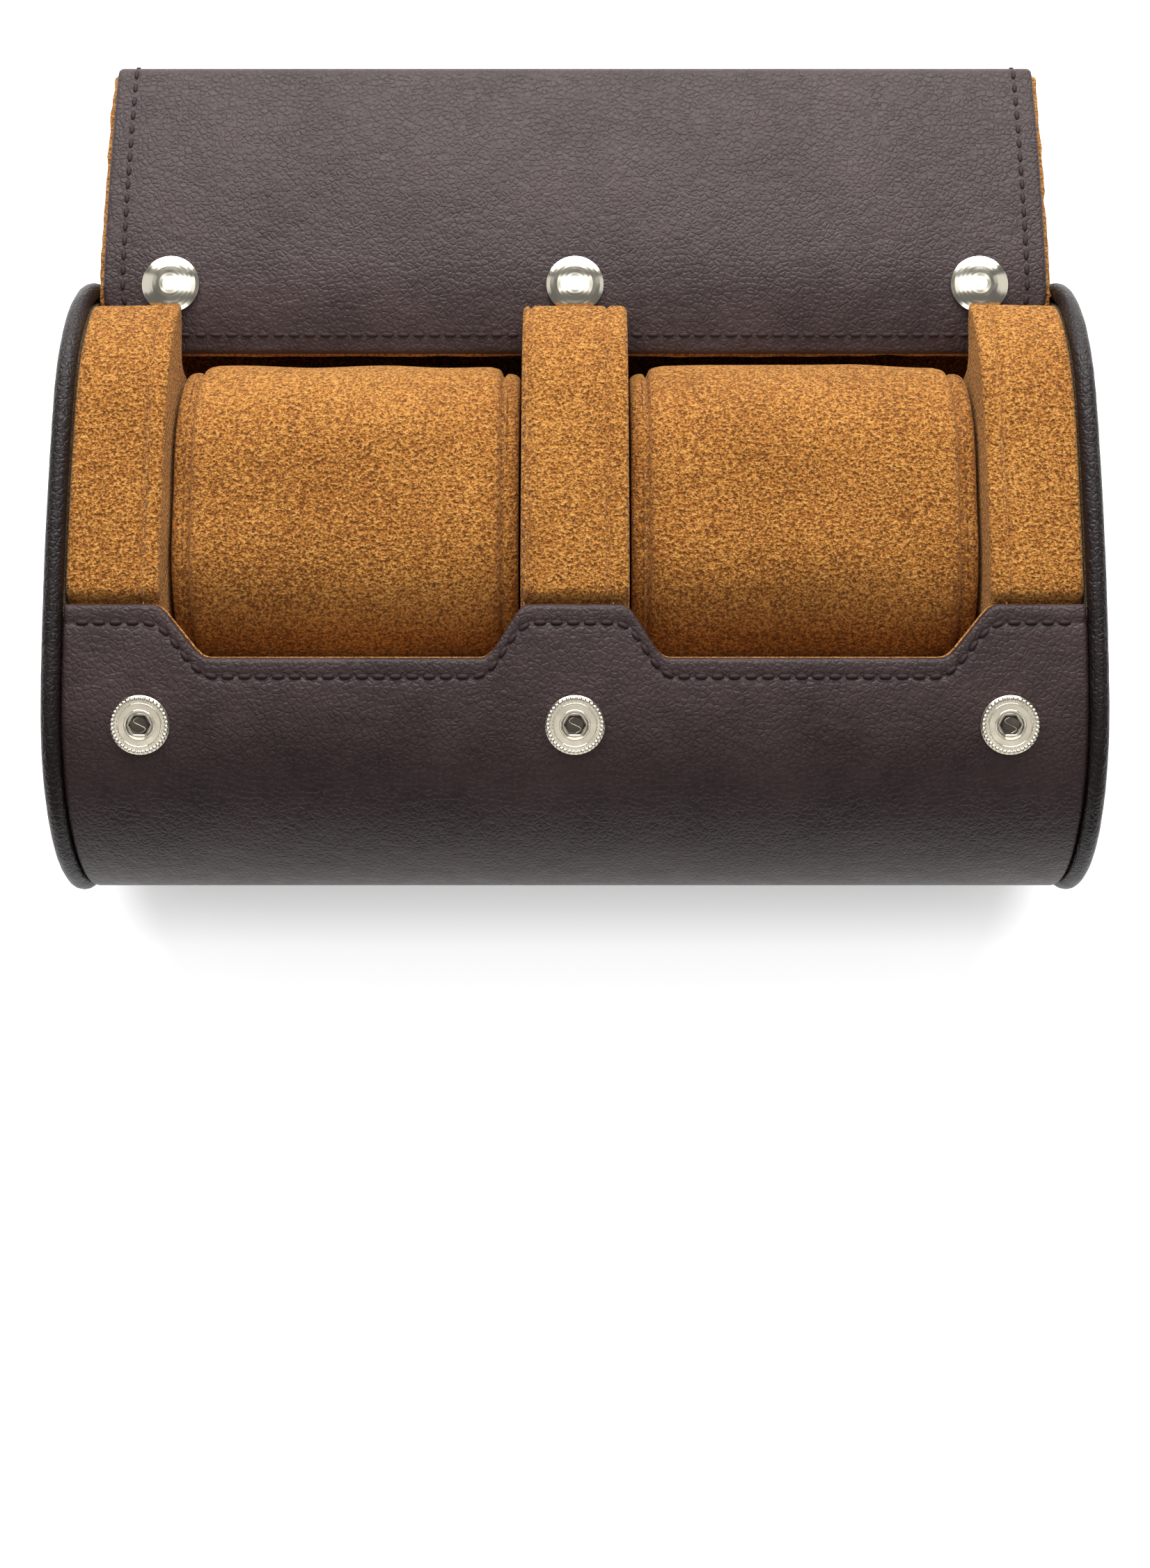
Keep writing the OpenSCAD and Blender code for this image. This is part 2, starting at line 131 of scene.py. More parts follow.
BED_ROUND, BED_DRAW, BED_STEP = 0.8, 0.6, 4.0
CUSHION_STEP = 1.6
DENT_SCALE = 0.055  # how closely soft dents follow each other
LAYER_GAP = 0.2  # from the lining to what lies on it
FINE_REACH = 6.0  # how far from a corner the steps are fine
NEAR_ZERO = 1e-6


def turn_at(l):
    """Angle of the oval's normal from up, at a distance l along it from the top."""
    l = abs(l)
    if l <= BROAD_L:
        return l / BROAD_R
    if l <= BROAD_L + END_L:
        return JOIN_A + (l - BROAD_L) / END_R
    return math.pi - JOIN_A + (l - BROAD_L - END_L) / BROAD_R


def length_at(turn):
    """Distance along the oval where its normal has turned this far, on a narrow end."""
    return BROAD_L + END_R * (turn - JOIN_A)


def oval(l, d):
    """Point (y, z) at l along the oval from the top, positive to the front, d outside."""
    side = 1.0 if l >= 0 else -1.0
    l = abs(l)
    if l > WHOLE_L / 2:
        l, side = WHOLE_L - l, -side
    t = turn_at(l)
    if l <= BROAD_L:
        y, z = (BROAD_R + d) * math.sin(t), HALF_H - BROAD_R + (BROAD_R + d) * math.cos(t)
    elif l <= BROAD_L + END_L:
        y, z = END_C + (END_R + d) * math.sin(t), (END_R + d) * math.cos(t)
    else:
        y, z = (BROAD_R + d) * math.sin(t), BROAD_R - HALF_H + (BROAD_R + d) * math.cos(t)
    return np.array([-side * y, z])


def turned(p, centre, degrees):
    """A point of the section turned about a centre."""
    a = math.radians(degrees)
    q = np.asarray(p, float) - centre
    return centre + np.array(
        [q[0] * math.cos(a) - q[1] * math.sin(a), q[0] * math.sin(a) + q[1] * math.cos(a)]
    )


def world(x, p):
    """A point of the section, at x along the case, in metres and above the ground."""
    return np.array([x, p[0], max(p[1] + AXIS_Z, 0.0)]) * MM


ROOT_L = length_at(math.radians(ROOT_TURN))
ROOT_AXIS = oval(-ROOT_L, ROOT_OFF)
REAR_AXIS = oval(-FOLD_REAR, FLAP_GAP)
FRONT_AXIS = oval(-FOLD_UP, FLAP_GAP)


def back_open(p):
    """Where a point of the closed flap's back length lies when it is open."""
    return turned(p, ROOT_AXIS, -OPEN_BACK)


def crown_open(p):
    """The same for the crown length."""
    return back_open(turned(p, REAR_AXIS, OPEN_CROWN))


def front_open(p):
    """The same for the front length."""
    return crown_open(turned(p, FRONT_AXIS, OPEN_FRONT))


# ---- materials ----


def new_material(name, roughness):
    """A new material with its node tree and its shader."""
    mat = bpy.data.materials.new(name)
    mat.use_nodes = True
    tree = mat.node_tree
    shader = tree.nodes["Principled BSDF"]
    shader.inputs["Roughness"].default_value = roughness
    return mat, tree, shader


def node(tree, kind, **values):
    """A new node; each value goes to the input of that name, or else to the property."""
    made = tree.nodes.new(kind)
    for key, value in values.items():
        if key in made.inputs:
            made.inputs[key].default_value = value
        else:
            setattr(made, key, value)
    return made


def ramp(tree, factor, stops):
    """A colour ramp fed by factor; stops are (position, linear colour)."""
    made = tree.nodes.new("ShaderNodeValToRGB")
    elements = made.color_ramp.elements
    while len(elements) < len(stops):
        elements.new(0.5)
    for element, (position, colour) in zip(elements, stops):
        element.position = position
        element.color = (*colour, 1)
    tree.links.new(factor, made.inputs["Fac"])
    return made.outputs["Color"]


def coordinates(tree):
    """The piece's own coordinates, in metres."""
    return tree.nodes.new("ShaderNodeTexCoord").outputs["Object"]


def bump(tree, shader, height, strength, distance, under=None):
    """Adds relief to the shader, over the relief in under."""
    made = node(tree, "ShaderNodeBump", Strength=strength, Distance=distance)
    tree.links.new(height, made.inputs["Height"])
    if under is not None:
        tree.links.new(under, made.inputs["Normal"])
    tree.links.new(made.outputs["Normal"], shader.inputs["Normal"])
    return made.outputs["Normal"]


def leather(name, dark, light, roughness):
    """Smooth brown leather: soft colour clouds, pebble grain and creases."""
    mat, tree, shader = new_material(name, roughness)
    where = coordinates(tree)
    clouds = node(tree, "ShaderNodeTexNoise", Scale=60.0, Detail=8.0, Roughness=0.68)
    creases = node(
        tree, "ShaderNodeTexNoise", Scale=240.0, Detail=5.0, Roughness=0.66, Distortion=0.2
    )
    cells = node(tree, "ShaderNodeTexVoronoi", feature="DISTANCE_TO_EDGE", Scale=850.0)
    for texture in (clouds, creases, cells):
        tree.links.new(where, texture.inputs["Vector"])
    tree.links.new(
        ramp(tree, clouds.outputs["Fac"], [(0.34, dark), (0.66, light)]),
        shader.inputs["Base Color"],
    )
    edge = node(tree, "ShaderNodeMapRange", **{"From Max": 0.22})
    tree.links.new(cells.outputs["Distance"], edge.inputs["Value"])
    first = bump(tree, shader, edge.outputs["Result"], 0.5, 0.00018)
    bump(tree, shader, creases.outputs["Fac"], 0.7, 0.0006, under=first)
    gloss = node(
        tree, "ShaderNodeMapRange", **{"To Min": roughness - 0.10, "To Max": roughness + 0.14}
    )
    tree.links.new(creases.outputs["Fac"], gloss.inputs["Value"])
    tree.links.new(gloss.outputs["Result"], shader.inputs["Roughness"])
    shader.inputs["Specular IOR Level"].default_value = 0.32
    return mat


def mixed(tree, share, first, second):
    """Two values mixed: share is how much of the second."""
    made = node(tree, "ShaderNodeMix", data_type="FLOAT")
    made.inputs[0].default_value = share
    tree.links.new(first, made.inputs[2])
    tree.links.new(second, made.inputs[3])
    return made.outputs[0]


def suede(name, dark, mid, light):
    """Short napped suede: soft brushed patches under a strong fine fleck."""
    mat, tree, shader = new_material(name, 0.95)
    where = coordinates(tree)
    patches = node(tree, "ShaderNodeTexNoise", Scale=45.0, Detail=3.0, Roughness=0.5)
    fleck = node(tree, "ShaderNodeTexNoise", Scale=2400.0, Detail=2.0, Roughness=0.6)
    tufts = node(tree, "ShaderNodeTexNoise", Scale=1350.0, Detail=2.0, Roughness=0.55)
    for texture in (patches, fleck, tufts):
        tree.links.new(where, texture.inputs["Vector"])
    fine = mixed(tree, 0.45, fleck.outputs["Fac"], tufts.outputs["Fac"])
    both = mixed(tree, 0.10, fine, patches.outputs["Fac"])
    tree.links.new(
        ramp(tree, both, [(0.41, dark), (0.5, mid), (0.59, light)]),
        shader.inputs["Base Color"],
    )
    first = bump(tree, shader, fleck.outputs["Fac"], 0.8, 0.0007)
    bump(tree, shader, tufts.outputs["Fac"], 0.8, 0.0012, under=first)
    shader.inputs["Sheen Weight"].default_value = 0.3
    shader.inputs["Sheen Roughness"].default_value = 0.5
    shader.inputs["Sheen Tint"].default_value = (1.0, 0.74, 0.42, 1)
    shader.inputs["Specular IOR Level"].default_value = 0.15
    return mat


def metal(name, colour, roughness):
    """Bright plated metal with faint handling marks."""
    mat, tree, shader = new_material(name, roughness)
    shader.inputs["Metallic"].default_value = 1.0
    shader.inputs["Base Color"].default_value = (*colour, 1)
    where = coordinates(tree)
    marks = node(tree, "ShaderNodeTexNoise", Scale=420.0, Detail=5.0)
    tree.links.new(where, marks.inputs["Vector"])
    spread = node(
        tree, "ShaderNodeMapRange",
        **{"From Min": 0.3, "To Min": roughness * 0.7, "To Max": roughness * 1.6},
    )
    tree.links.new(marks.outputs["Fac"], spread.inputs["Value"])
    tree.links.new(spread.outputs["Result"], shader.inputs["Roughness"])
    return mat


def thread(name, colour):
    """Twisted sewing thread."""
    mat, tree, shader = new_material(name, 0.7)
    where = coordinates(tree)
    twist = node(tree, "ShaderNodeTexWave", Scale=900.0, Distortion=1.0)
    tree.links.new(where, twist.inputs["Vector"])
    darker = tuple(c * 0.55 for c in colour)
    tree.links.new(
        ramp(tree, twist.outputs["Fac"], [(0.2, darker), (0.8, colour)]),
        shader.inputs["Base Color"],
    )
    return mat


LEATHER = leather("brown_leather", (0.031, 0.0172, 0.0165), (0.056, 0.0330, 0.0322), 0.44)
RIM_LEATHER = leather("rim_leather", (0.008, 0.0042, 0.0040), (0.016, 0.0085, 0.0080), 0.40)
SUEDE = suede("tan_suede", (0.17, 0.048, 0.006), (0.43, 0.158, 0.026), (0.74, 0.35, 0.082))
LINING = suede("tan_lining", (0.22, 0.075, 0.013), (0.46, 0.182, 0.038), (0.68, 0.33, 0.094))
SNAP = metal("snap_metal", (0.88, 0.82, 0.68), 0.16)
SPRING = metal("spring_metal", (0.62, 0.56, 0.46), 0.3)
SOCKET = metal("socket_metal", (0.60, 0.54, 0.43), 0.26)
# The wells' near-black floor is painted shade: it stands for the shade down in each socket's
# hole.
WELL_SHADE = metal("well_painted_shade", (0.10, 0.085, 0.07), 0.4)
THREAD = thread("maroon_thread", (0.026, 0.0055, 0.0075))
TAN_THREAD = thread("tan_thread", (0.27, 0.10, 0.026))
BOARD = suede("fibre_board", (0.16, 0.12, 0.08), (0.22, 0.17, 0.12), (0.28, 0.22, 0.16))
FOAM = suede("bed_suede", (0.16, 0.058, 0.014), (0.32, 0.13, 0.034), (0.45, 0.21, 0.065))

# ---- mesh helpers ----


def add_mesh(name, points, faces, material, smooth=True):
    """A new object from points in metres and faces."""
    mesh = bpy.data.meshes.new(name)
    mesh.from_pydata([tuple(p) for p in points], [], faces)
    mesh.validate()
    mesh.materials.append(material)
    if smooth:
        mesh.shade_smooth()
    made = bpy.data.objects.new(name, mesh)
    bpy.context.scene.collection.objects.link(made)
    return made


def circle(count):
    """The angles of count points spaced evenly round a circle."""
    return [2 * math.pi * k / count for k in range(count)]


def grid_faces(rows, columns, offset=0, flip=False, wrap=False, loop=False):
    """Quads of a rows x columns grid of points; wrap closes each row, loop each column."""
    found = []
    for i in range(rows if loop else rows - 1):
        below = (i + 1) % rows
        for j in range(columns if wrap else columns - 1):
            k = (j + 1) % columns
            quad = (
                offset + i * columns + j,
                offset + i * columns + k,
                offset + below * columns + k,
                offset + below * columns + j,
            )
            found.append(quad[::-1] if flip else quad)
    return found


def weld(made):
    """Joins points that lie on each other, and points the faces outward."""
    b = bmesh.new()
    b.from_mesh(made.data)
    bmesh.ops.remove_doubles(b, verts=b.verts, dist=WELD_REACH)
    bmesh.ops.recalc_face_normals(b, faces=b.faces)
    b.to_mesh(made.data)
    b.free()
    made.data.shade_smooth()
    return made


def round_off(distance, radius):
    """How full a layer is, 0 to 1, at a distance in from its rounded edge."""
    t = min(max(distance / radius, 0.0), 1.0)
    return math.sqrt(max(1 - (1 - t) ** 2, 0.0))


def lerp(a, b, t):
    """The value a share t of the way from a to b."""
    return a + (b - a) * t


def spaced(low, high, fine_at, fine, coarse):
    """Values from low to high: fine steps near the places in fine_at."""
    values = [low]
    while values[-1] < high - NEAR_ZERO:
        x = values[-1]
        near = min(abs(x - f) for f in fine_at)
        values.append(min(x + (fine if near < FINE_REACH else coarse), high))
    return values


# ---- stitches ----

# A stitch from end to end: (share of its length, share of its radius).
STITCH_SHAPE = ((-0.5, 0.35), (-0.3, 0.9), (0.0, 1.0), (0.3, 0.9), (0.5, 0.35))
STITCH_SIDES = 6
STITCH_LOOK = 0.4  # how far each way the row's direction is taken from
STITCH_FLAT, STITCH_SUNK, STITCH_ARCH = 0.75, 0.1, 0.9  # its height, depth and curve


def stitch_row(name, path, up, material, pitch=STITCH_PITCH, length=STITCH_LENGTH,
               radius=STITCH_R):
    """Thread stitches along a path of points in metres; up gives the surface's normal."""
    path = np.asarray(path, float)
    up = np.asarray(up, float)
    seg = np.linalg.norm(np.diff(path, axis=0), axis=1)
    at = np.concatenate([[0], np.cumsum(seg)])
    count = max(int(at[-1] / (pitch * MM)), 1)
    points, faces = [], []
    for k in range(count):
        s = (k + 0.5) * at[-1] / count
        here = [np.array([np.interp(s + e, at, path[:, i]) for i in range(3)])
                for e in (-STITCH_LOOK * MM, 0, STITCH_LOOK * MM)]
        normal = np.array([np.interp(s, at, up[:, i]) for i in range(3)])
        normal /= np.linalg.norm(normal)
        along = here[2] - here[0]
        along /= np.linalg.norm(along)
        across = np.cross(normal, along)
        start = len(points)
        for t, r in STITCH_SHAPE:
            for a in circle(STITCH_SIDES):
                rise = math.sin(a) * STITCH_FLAT - STITCH_SUNK - STITCH_ARCH * t * t
                points.append(
                    here[1] + along * (t * length * MM)
                    + (across * math.cos(a) + normal * rise) * (r * radius * MM)
                )
        faces += grid_faces(len(STITCH_SHAPE), STITCH_SIDES, start, wrap=True)
        faces.append(tuple(start + i for i in range(STITCH_SIDES))[::-1])
        faces.append(tuple(range(len(points) - STITCH_SIDES, len(points))))
    return add_mesh(name, points, faces, material)


# ---- shell ----


def edge_raw(x):
    """How far along the oval the front edge of the shell lies, with sharp corners."""
    x = abs(x)
    outer = INSIDE_X + NOTCH_OVER
    low = TAB_EDGE + NOTCH_DEPTH
    return float(np.interp(
        x,
        [0, TAB_HALF, TAB_HALF + NOTCH_SLANT, outer - OUTER_SLANT, outer, SHELL_X],
        [TAB_EDGE, TAB_EDGE, low, low, TAB_EDGE, TAB_EDGE],
    ))


def edge_at(x, width=EDGE_SOFT):
    """The front edge with its corners softened over a width."""
    return float(np.mean([edge_raw(x + width * e) for e in np.linspace(-1, 1, 7)]))


BODY_ROOT_L = length_at(math.radians(ROOT_TURN + 2))  # where the shell ends at the rear
FLAP_ROOT_L = length_at(math.radians(ROOT_TURN - 3))  # and where the flap begins
SHELL_TOP_L = WHOLE_L - BODY_ROOT_L
SHELL_CORNERS = (TAB_HALF, TAB_HALF + NOTCH_SLANT, 70, 78)  # about where its edge has corners
# Distances in from the front edge at which a layer of the shell has points.
SHELL_EDGE_STEPS = (0, 0.08, 0.25, 0.5, 0.85, 1.2, 2.0, 3.0, 3.4, 3.7, 4.0, 4.5, 6.0)
SHELL_ROUND_STEPS = 72


def shell_sheet(name, d_in, d_out, edge_in, half, material, bead=1.1):
    """A layer of the shell from the front edge round below to the root."""
    right = spaced(0, half - bead, SHELL_CORNERS, 0.6, 4.0)
    right += [half - bead * (1 - e) for e in (0.3, 0.6, 0.85, 1.0)]
    xs = [-x for x in reversed(right[1:])] + right
    mid = (d_in + d_out) / 2
    top_row, low_row = [], []
    for x in xs:
        l0 = edge_at(x) + edge_in
        ls = [l0 + s for s in SHELL_EDGE_STEPS]
        ls += [lerp(ls[-1], SHELL_TOP_L - 1.0, (k + 1) / SHELL_ROUND_STEPS)
               for k in range(SHELL_ROUND_STEPS)]
        ls += [SHELL_TOP_L - 0.5, SHELL_TOP_L]
        side = round_off(half - abs(x), bead)
        for rows, d in ((top_row, d_out), (low_row, d_in)):
            line = []
            for l in ls:
                e = round_off(l - l0, bead) * side
                pinch = PINCH * math.exp(-(((l - l0 - SHELL_STITCH_IN) / PINCH_WIDTH) ** 2))
                depth = lerp(mid, d, e) - (pinch if d == d_out and edge_in == 0 else 0)
                line.append(world(x, oval(l, depth)))
            rows.append(line)
    rows, columns = len(xs), len(top_row[0])
    points = [p for r in top_row for p in r] + [p for r in low_row for p in r]
    faces = grid_faces(rows, columns) + grid_faces(rows, columns, rows * columns, flip=True)
    last = columns - 1
    for i in range(rows - 1):
        a, b = i * columns + last, (i + 1) * columns + last
        faces.append((a, b, b + rows * columns, a + rows * columns))
    made = weld(add_mesh(name, points, faces, material))
    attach(made, "case")
    return made


shell = shell_sheet("shell_leather", COVER_IN, COVER_OUT, 0.0, SHELL_X, LEATHER)
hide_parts("body_cover", "body_board")
lining = shell_sheet("shell_lining", LINING_IN, COVER_IN - 0.05, -0.3, SHELL_X, LINING, 0.5)
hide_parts("body_lining")

shell_path, shell_up = [], []
for x in np.arange(-SHELL_X + SHELL_STITCH_END, SHELL_X - SHELL_STITCH_END, SHELL_STITCH_STEP):
    l = edge_at(x, STITCH_EDGE_SOFT) + SHELL_STITCH_IN
    shell_path.append(world(x, oval(l, COVER_OUT - THREAD_SUNK)))
    t = turn_at(l)
    shell_up.append((0, -math.sin(t), math.cos(t)))
stitches = stitch_row("shell_stitches", shell_path, shell_up, THREAD)
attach(stitches, "case")

# ---- ends ----

RIM_STATIONS, RIM_SIDES = 200, 16
RIM_WOBBLE, RIM_WOBBLE_SCALE = 0.05, 0.35
DISC_STATIONS = 160
DISC_STEPS = (  # the end face from the piping inward: (distance from the oval, x)
    (-3.75, 97.9), (-3.8, 98.6), (-4.2, 99.0), (-5.0, 99.3), (-6.5, 99.5),
    (-9.0, 99.65), (-13.0, 99.75), (-19.0, 99.82), (-26.0, 99.88), (-33.0, 99.9),
)


def end_rim(side, name):
    """Leather piping round one end, rolled over the edge of the end plate."""
    points = []
    for k in range(RIM_STATIONS):
        l = WHOLE_L * k / RIM_STATIONS
        uneven = noise.noise(Vector((l * RIM_WOBBLE_SCALE, side * 3.0, 0.5)))
        r = RIM_R + RIM_WOBBLE * uneven
        for a in circle(RIM_SIDES):
            points.append(
                world(side * (RIM_X + (r * math.sin(a))), oval(l, -RIM_R + r * math.cos(a)))
            )
    faces = grid_faces(RIM_STATIONS, RIM_SIDES, wrap=True, loop=True)
    made = weld(add_mesh(name, points, faces, RIM_LEATHER))
    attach(made, "case")
    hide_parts(name.replace("rim_piping", "end_rim"))


def end_disc(side, name):
    """Leather face of one end: drawn over its board and tucked in at the piping."""
    points = []
    for d, x in DISC_STEPS:
        for k in range(DISC_STATIONS):
            points.append(world(side * x, oval(WHOLE_L * k / DISC_STATIONS, d)))
    faces = grid_faces(len(DISC_STEPS), DISC_STATIONS, wrap=True)
    centre = len(points)
    points.append(world(side * DISC_STEPS[-1][1], (0, 0)))
    last = centre - DISC_STATIONS
    for k in range(DISC_STATIONS):
        faces.append((last + k, last + (k + 1) % DISC_STATIONS, centre))
    made = weld(add_mesh(name, points, faces, LEATHER))
    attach(made, "case")
    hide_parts(name.replace("end_face", "end_cap"))


for side, word in ((-1, "left"), (1, "right")):
    end_rim(side, "rim_piping_" + word)
    end_disc(side, "end_face_" + word)

# ---- padded pieces ----


def smooth_outline(corners, count, blur):
    """A closed outline resampled to count points, with its corners softened."""
    corners = np.asarray(corners, float)
    loop = np.vstack([corners, corners[:1]])
    seg = np.linalg.norm(np.diff(loop, axis=0), axis=1)
    at = np.concatenate([[0], np.cumsum(seg)])
    s = np.linspace(0, at[-1], count, endpoint=False)
    points = np.stack([np.interp(s, at, loop[:, i]) for i in range(2)], axis=1)
    steps = max(int(blur / (at[-1] / count)), 1)
    for _ in range(steps):
        points = (np.roll(points, 1, 0) + 2 * points + np.roll(points, -1, 0)) / 4
    return points


def outline_normals(points):
    """At each point of a closed outline, the way straight inward."""
    along = np.roll(points, -1, 0) - np.roll(points, 1, 0)
    along /= np.linalg.norm(along, axis=1)[:, None]
    inward = np.stack([-along[:, 1], along[:, 0]], axis=1)
    centre = points.mean(0)
    if np.mean(np.sum(inward * (centre - points), axis=1)) < 0:
        inward = -inward
    return inward


def padded_loft(name, outline, stations, material, soft=0.0):
    """A stuffed form: an outline drawn in by an inset at each x station, softly dented."""
    inward = outline_normals(outline)
    points = []
    n = len(outline)
    for x, inset in stations:
        for p, q in zip(outline, inward):
            dent = soft * noise.noise(
                Vector((x * DENT_SCALE, p[0] * DENT_SCALE, p[1] * DENT_SCALE))
            )
            points.append(world(x, p + q * (inset + dent)))
    faces = grid_faces(len(stations), n, wrap=True)
    faces.append(tuple(range(n)))
    faces.append(tuple(range(len(points) - n, len(points)))[::-1])
    return weld(add_mesh(name, points, faces, material))


SEAM_STEPS = np.array([-1.2, -0.7, -0.35, -0.15, 0, 0.15, 0.35, 0.7, 1.2])


def end_stations(x0, x1, radius, draw, seams, seam_depth, gap):
    """Stations (x, inset) from x0 to x1 with rounded ends and narrow seams."""
    found = []
    rounded = radius * (1 - np.cos(np.linspace(0, math.pi / 2, 7)))
    span = np.unique(np.concatenate([
        x0 + rounded,
        np.arange(x0 + radius, x1 - radius, gap),
        x1 - rounded,
        *[s + SEAM_STEPS for s in seams],
    ]))
    for x in span:
        if x < x0 - NEAR_ZERO or x > x1 + NEAR_ZERO:
            continue
        edge = min(x - x0, x1 - x)
        inset = draw * (1 - round_off(edge, radius))
        inset += sum(seam_depth * math.exp(-(((x - s) / SEAM_WIDTH) ** 2)) for s in seams)
        found.append((x, inset))
    return found


FILL_OUT = LINING_IN - LAYER_GAP  # the outside of what lies on the lining
PAD_BACK_L = length_at(math.pi - math.asin((WALL_BACK - END_C) / (END_R + FILL_OUT)))
TIP_L = length_at(math.asin((TIP_BACK - END_C) / (END_R - PAD_DROP)))
# A pad's outline from the rear of its firm part up under its soft tip.
TIP_UNDER = ((WALL_BACK, 12.0), (WALL_BACK + 0.6, 17.9), (TIP_BACK - 5, 19.0),
             (TIP_BACK - 0.4, 20.0))
SEAM_OFF = 0.9  # from a seam to the stitches beside it
PAD_STITCH_IN = 0.22


def pad_outline():
    """Side outline of a suede pad, with its soft overhanging tip."""
    inside = [oval(l, FILL_OUT) for l in
              np.linspace(TAB_EDGE - 0.9, WHOLE_L - PAD_BACK_L, 60)]
    top = [oval(l, -PAD_DROP) for l in np.linspace(-TIP_L, TAB_EDGE - 1.2, 40)]
    return smooth_outline(inside + list(TIP_UNDER) + top, 230, 3.0)


def pad(name, x0, x1, seams, *nodes):
    """A suede pad from x0 to x1, with a row of stitches beside each seam."""
    stations = end_stations(x0, x1, PAD_ROUND, PAD_DRAW, seams, PAD_SEAM, PAD_STEP)
    made = padded_loft(name, pad_outline(), stations, SUEDE, soft=PAD_SOFT)
    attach(made, "case")
    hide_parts(*nodes)
    for k, s in enumerate(seams):
        side = -SEAM_OFF if abs(s - x0) < abs(s - x1) else SEAM_OFF
        ls = np.linspace(-TIP_L + 2, TAB_EDGE + 2, 90)
        path = [world(s + side, oval(l, -PAD_DROP - PAD_STITCH_IN)) for l in ls]
        up = [(0, -math.sin(turn_at(l)) * np.sign(l), math.cos(turn_at(l))) for l in ls]
        row = stitch_row(f"{name}_stitches_{k}", path, up, TAN_THREAD, **TAN_STITCH)
        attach(row, "case")


PAD_SIDE_X = INSIDE_X + 1.3  # the outer pads, drawn in a little from their CAD solids
PAD_END_X = SHELL_X - 0.1
OUTER_SEAM_X = PAD_SIDE_X + 3.6
LEFT_SEAM_IN, RIGHT_SEAM_IN = 1.6, 4  # the middle pad's seams, in from its sides
pad("pad_left", -PAD_END_X, -PAD_SIDE_X, [-OUTER_SEAM_X], "divider_left")
pad("pad_centre", -PAD_HALF, PAD_HALF,
    [-PAD_HALF + LEFT_SEAM_IN, PAD_HALF - RIGHT_SEAM_IN], "divider_centre", "divider_tips")
pad("pad_right", PAD_SIDE_X, PAD_END_X, [OUTER_SEAM_X], "divider_right")

ROLL_X0, ROLL_X1 = 10.9, 77.8  # a cushion's bounds
ROLL_Y0, ROLL_Y1 = -19.7, 42.8
ROLL_Z0, ROLL_Z1 = -18.5, 31.5
ROLL_R = 24.0  # and the radius of its corners
GUSSET = 3.3  # width of its side strips
STRIP_IN = 1.7  # how far the strips lie in from the body
STRIP_DRAW = 1.6  # and how far they are drawn in at the cushion's ends
STRIP_ROUND = 1.8
BODY_ROUND = 3.2
BODY_SAG = 0.5  # the body is this much slimmer at its seams
STRIP_SEAM, STRIP_SEAM_WIDTH = 0.8, 0.4
STRIP_SEAM_OFF = 0.95


def cushion_outline():
    """Side outline of a cushion: a box with large round corners."""
    r = ROLL_R
    found = []
    for cy, cz, a0 in ((ROLL_Y1 - r, ROLL_Z1 - r, 0), (ROLL_Y0 + r, ROLL_Z1 - r, 90),
                       (ROLL_Y0 + r, ROLL_Z0 + r, 180), (ROLL_Y1 - r, ROLL_Z0 + r, 270)):
        for k in range(13):
            a = math.radians(a0 + 90 * k / 12)
            found.append((cy + r * math.cos(a), cz + r * math.sin(a)))
    return smooth_outline(found, 200, 2.0)


def cushion_inset(x, x0, x1):
    """How far the cushion's outline is drawn in at x: strip, seam, then full body."""
    end = min(x - x0, x1 - x)
    if end < GUSSET:
        inset = STRIP_IN + STRIP_DRAW * (1 - round_off(end, STRIP_ROUND))
    else:
        t = abs(2 * (x - x0) / (x1 - x0) - 1)
        inset = STRIP_IN * (1 - round_off(end - GUSSET, BODY_ROUND)) + BODY_SAG * t**3
    return inset + STRIP_SEAM * math.exp(-(((end - GUSSET) / STRIP_SEAM_WIDTH) ** 2))


def cushion(word, side):
    """A roll cushion: full between its two seams, with stitched side strips."""
    x0, x1 = (ROLL_X0, ROLL_X1) if side > 0 else (-ROLL_X1, -ROLL_X0)
    seams = [x0 + GUSSET, x1 - GUSSET]
    stations = [(x, cushion_inset(x, x0, x1))
                for x, _ in end_stations(x0, x1, GUSSET, 0, seams, 0, CUSHION_STEP)]
    outline = cushion_outline()
    made = padded_loft("cushion_" + word, outline, stations, SUEDE, soft=CUSHION_SOFT)
    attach(made, "pillow_" + word)
    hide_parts("pillow_" + word, f"pillow_{word}_gussets")
    inward = outline_normals(outline)
    for k, s in enumerate(seams):
        off = -STRIP_SEAM_OFF if k == 0 else STRIP_SEAM_OFF
        closed = list(range(len(outline))) + [0]
        path = [world(s + off, outline[i] + inward[i] * (STRIP_IN + 0.05)) for i in closed]
        up = [(0, -inward[i][0], -inward[i][1]) for i in closed]
        row = stitch_row(f"cushion_{word}_stitches_{k}", path, up, TAN_THREAD, **TAN_STITCH)
        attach(row, "pillow_" + word)


cushion("left", -1)
cushion("right", 1)

BED_TOP = -18.9
BED_FRONT_Y = -20.3
BED_LIP_TOP = 20.0
BED_FRONT_L = 26  # where the bed begins on the lining, along the oval
BED_SIDE_GAP = 0.3
BED_ROLL_GAP = 0.4  # from the bed to the cushion's round corner


